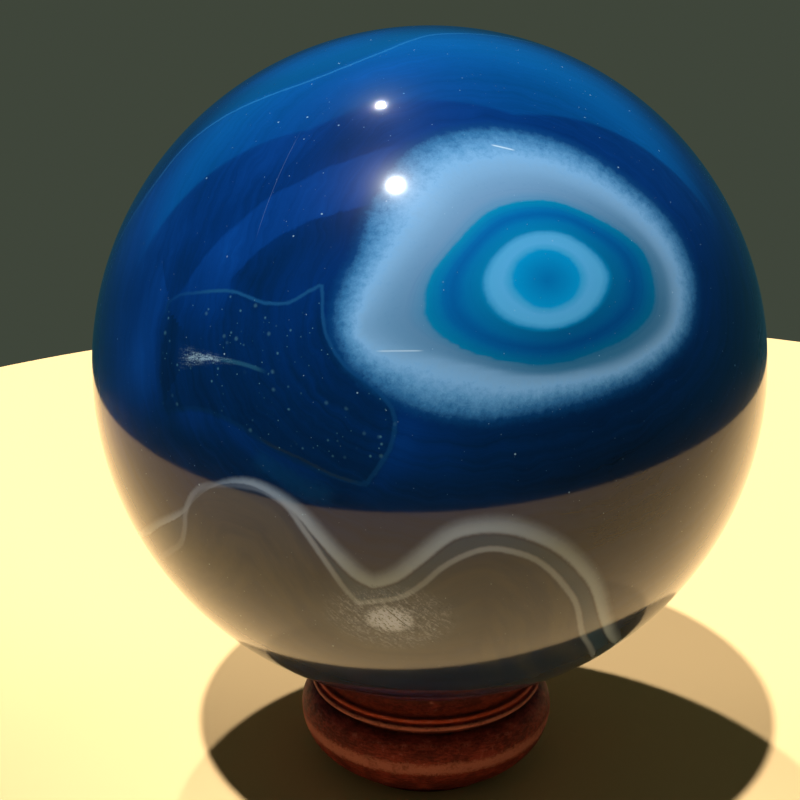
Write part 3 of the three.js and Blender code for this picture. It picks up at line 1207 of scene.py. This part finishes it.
def round_floor(settings):
    """A round plain floor with a softly rounded edge."""
    radius = settings.floor_diameter / 2
    thickness, edge, around = 0.012, 0.004, 240
    outline = [(radius - edge, 0.0)]
    for bend in np.linspace(0.2, math.pi / 2, 8):
        outline.append((radius - edge + edge * math.sin(bend), -edge + edge * math.cos(bend)))
    outline.append((radius, -thickness))
    turns = [2 * math.pi * i / around for i in range(around)]
    shape = bmesh.new()
    rings = []
    for r, z in outline:
        places = [FLOOR_MIDDLE + Vector((r * math.cos(a), r * math.sin(a), z)) for a in turns]
        rings.append([shape.verts.new(place) for place in places])
    shape.faces.new(rings[0])
    for upper, lower in zip(rings, rings[1:]):
        for i in range(around):
            j = (i + 1) % around
            shape.faces.new((upper[i], lower[i], lower[j], upper[j]))
    shape.faces.new(rings[-1][::-1])
    mesh = bpy.data.meshes.new("pale_floor")
    shape.to_mesh(mesh)
    shape.free()
    mesh.materials.append(floor_material(settings))
    return placed("pale_floor", mesh)


def distant_light(name, towards, strength, spread):
    """A far light like the sun, in the direction given."""
    data = bpy.data.lights.new(name, "SUN")
    lamp = placed(name, data, energy=strength, angle=math.radians(spread), color=WARM_LIGHT)
    lamp.rotation_euler = towards.to_track_quat("Z", "Y").to_euler()
    return lamp


def floor_beam(name, middle, towards, strength, aim, reach, stretch=1.0):
    """A far beam that lights only a round or oval part of the floor and adds no glint."""
    distance, soft_share = 3.0, 0.3
    place = middle + towards * distance
    away = place - Vector(aim)
    lamp = placed(
        name,
        bpy.data.lights.new(name, "SPOT"),
        energy=strength * 4 * math.pi * distance ** 2,
        shadow_soft_size=distance * math.tan(math.radians(LIGHT_SPREAD / 2)),
        color=WARM_LIGHT,
        spot_blend=soft_share,
        spot_size=2 * math.atan(reach / away.length),
    )
    lamp.location = place
    backwards = away.normalized()
    sideways = (Vector((1.0, 0.0, 0.0)) - backwards * backwards.x).normalized()
    turned = Matrix((sideways, backwards.cross(sideways), backwards)).transposed()
    lamp.rotation_euler = turned.to_euler()
    lamp.scale = (stretch, 1.0, 1.0)
    lamp.visible_glossy = False


def open_sky_light(middle):
    """A tall soft light behind the ball, mirrored over its upper part. It fades out downwards."""
    distance, left, right, low, high = 0.35, -0.6, 0.405, 0.05, 1.12
    fade_low, fade_high = 0.08, 0.33
    radiance, colour = 0.9, (0.0, 0.38, 1.0, 1.0)
    lamp = placed(
        "soft_back_light",
        bpy.data.lights.new("soft_back_light", "AREA"),
        shape="RECTANGLE",
        size=right - left,
        size_y=high - low,
        energy=radiance * math.pi * (right - left) * (high - low),
        use_nodes=True,
    )
    bench = Bench(lamp.data.node_tree)
    spot = bench.split(bench.node("ShaderNodeNewGeometry", output="Parametric"))
    height = spot[1] * (high - low) + low
    shade = bench.mix(bench.step(height, fade_low, fade_high), (0.0, 0.0, 0.0), colour)
    bench.plug(shade, bench.tree.nodes["Emission"].inputs["Color"])
    lamp.location = middle + Vector(((left + right) / 2, distance, (low + high) / 2))
    lamp.rotation_euler = Vector((0.0, 1.0, 0.0)).to_track_quat("Z", "Y").to_euler()
    lamp.visible_diffuse = False


def fill_world(settings):
    """Even light all round, which the polish mirrors in a bluer tone."""
    world = bpy.data.worlds.new("Surroundings")
    world.use_nodes = True
    bench = Bench(world.node_tree)
    mirrored = bench.node("ShaderNodeLightPath", output="Is Glossy Ray")
    air = bench.mix(mirrored, settings.air_colour, settings.mirrored_air_colour)
    bench.plug(air, bench.tree.nodes["Background"].inputs["Color"])
    bpy.context.scene.world = world


def place_camera(settings, middle):
    camera = placed(
        "camera",
        bpy.data.cameras.new("camera"),
        sensor_fit="HORIZONTAL",
        sensor_width=FILM_WIDTH_MM,
        lens=settings.lens,
        clip_start=0.005,
    )
    camera.location = middle + CAMERA_FROM_BALL
    level = math.cos(CAMERA_PITCH)
    ahead = Vector((math.sin(CAMERA_YAW) * level, math.cos(CAMERA_YAW) * level, -math.sin(CAMERA_PITCH)))
    camera.rotation_euler = ahead.to_track_quat("-Z", "Y").to_euler()
    bpy.context.scene.camera = camera


class AgatePanel(bpy.types.Panel):
    """Sizes, colours and buttons of the agate ball"""

    bl_idname = "VIEW3D_PT_agate_ball"
    bl_label = "Agate Ball"
    bl_space_type = "VIEW_3D"
    bl_region_type = "UI"
    bl_category = "Agate Ball"

    def draw(self, context):
        parts = (
            (context.scene.agate_ball, MakeAgateBall),
            (context.scene.turned_stand, MakeTurnedStand),
            (context.scene.agate_stage, SetStage),
        )
        for settings, operator in parts:
            box = self.layout.box()
            for name in settings.__annotations__:
                box.prop(settings, name)
            box.operator(operator.bl_idname)


SETTINGS = {
    "agate_ball": AgateBallSettings,
    "turned_stand": TurnedStandSettings,
    "agate_stage": StageSettings,
}
CLASSES = (*SETTINGS.values(), MakeAgateBall, MakeTurnedStand, SetStage, AgatePanel)


def register():
    for kind in CLASSES:
        bpy.utils.register_class(kind)
    for name, kind in SETTINGS.items():
        setattr(bpy.types.Scene, name, bpy.props.PointerProperty(type=kind))


def unregister():
    for name in SETTINGS:
        delattr(bpy.types.Scene, name)
    for kind in reversed(CLASSES):
        bpy.utils.unregister_class(kind)


def main():
    register()
    bpy.ops.agate.set_stage()
    bpy.ops.agate.make_stand()
    bpy.ops.agate.make_ball()


if __name__ == "__main__":
    main()
